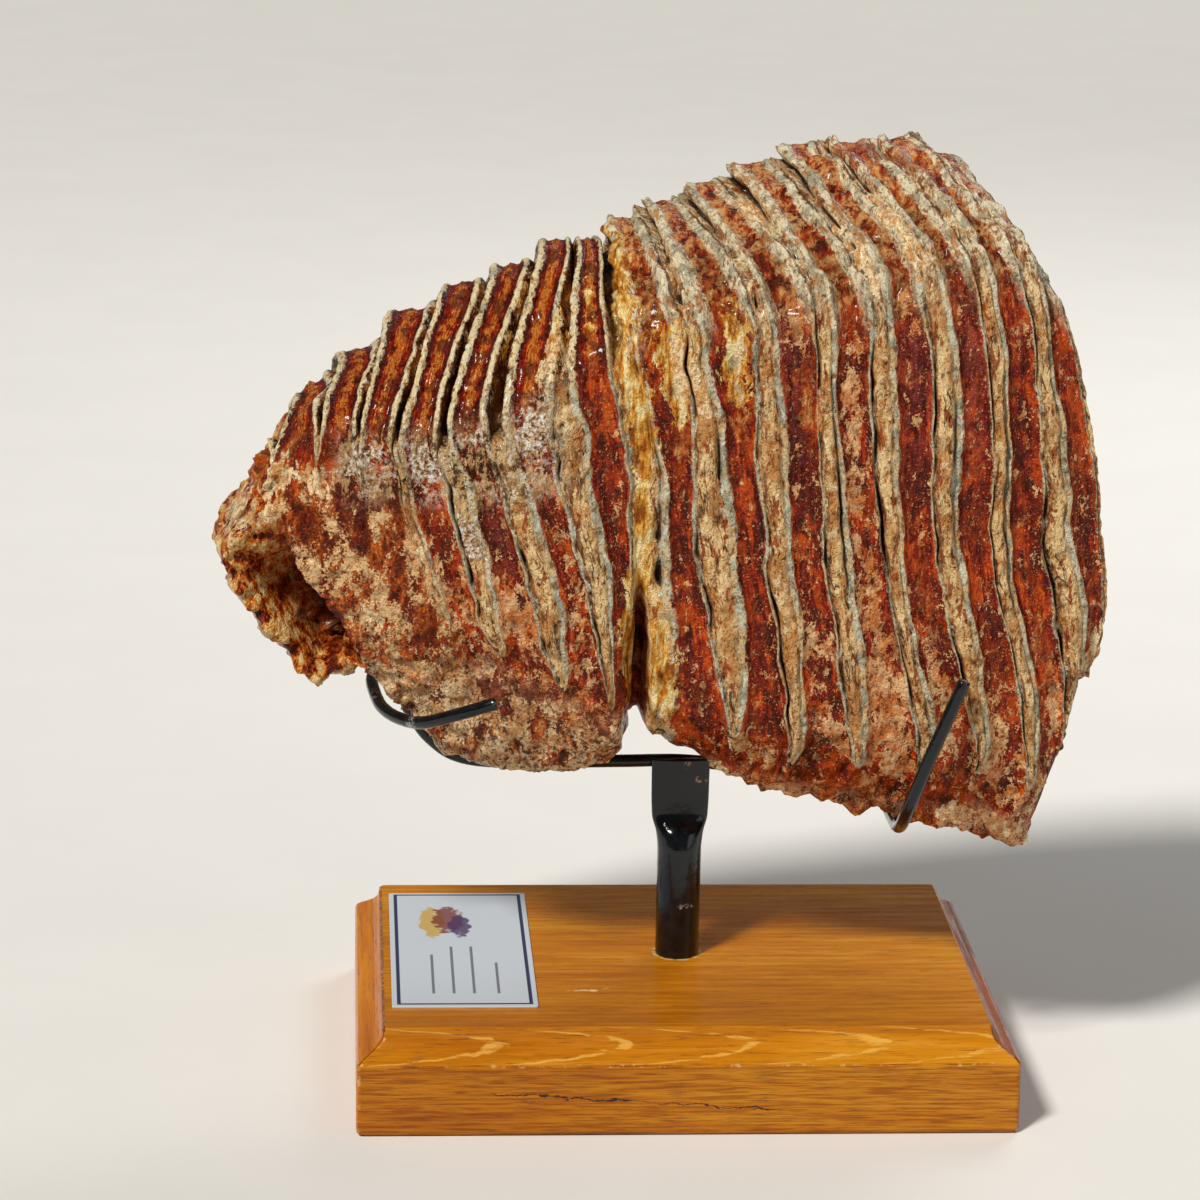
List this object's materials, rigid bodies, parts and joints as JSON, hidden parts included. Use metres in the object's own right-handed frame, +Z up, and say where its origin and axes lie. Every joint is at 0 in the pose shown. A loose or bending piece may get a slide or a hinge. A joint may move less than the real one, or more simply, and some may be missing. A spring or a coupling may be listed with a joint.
{
  "type": "woolly mammoth molar on a display stand",
  "caption": "Whole ridged woolly mammoth molar, lacquered, held by bent black rods on a post over a moulded wooden base with a label card.",
  "frame": {"origin": "centre of the wooden base's flat underside", "axes": "+X along the tooth to its high end, to the right of the side on display; +Y away from that side; +Z up"},
  "size_m": [0.2146, 0.12, 0.2315],
  "materials": {
    "tooth": "lacquered, red-brown dentine, grey enamel ribs and tan cement",
    "wood_base": "varnished, honey coloured, grain along X",
    "label_card": "satin card",
    "post_tube": "black gloss paint over steel, chipped",
    "cross_bar": "black gloss paint over steel, chipped",
    "left_cradle_rod": "black gloss paint over steel, chipped",
    "right_cradle_rod": "black gloss paint over steel, chipped"
  },
  "bodies": {
    "root": {"tooth": "tooth", "wood_base": "wood_base", "label_card": "label_card", "post_tube": "post_tube", "cross_bar": "cross_bar", "left_cradle_rod": "left_cradle_rod", "right_cradle_rod": "right_cradle_rod"}
  },
  "joints": []
}
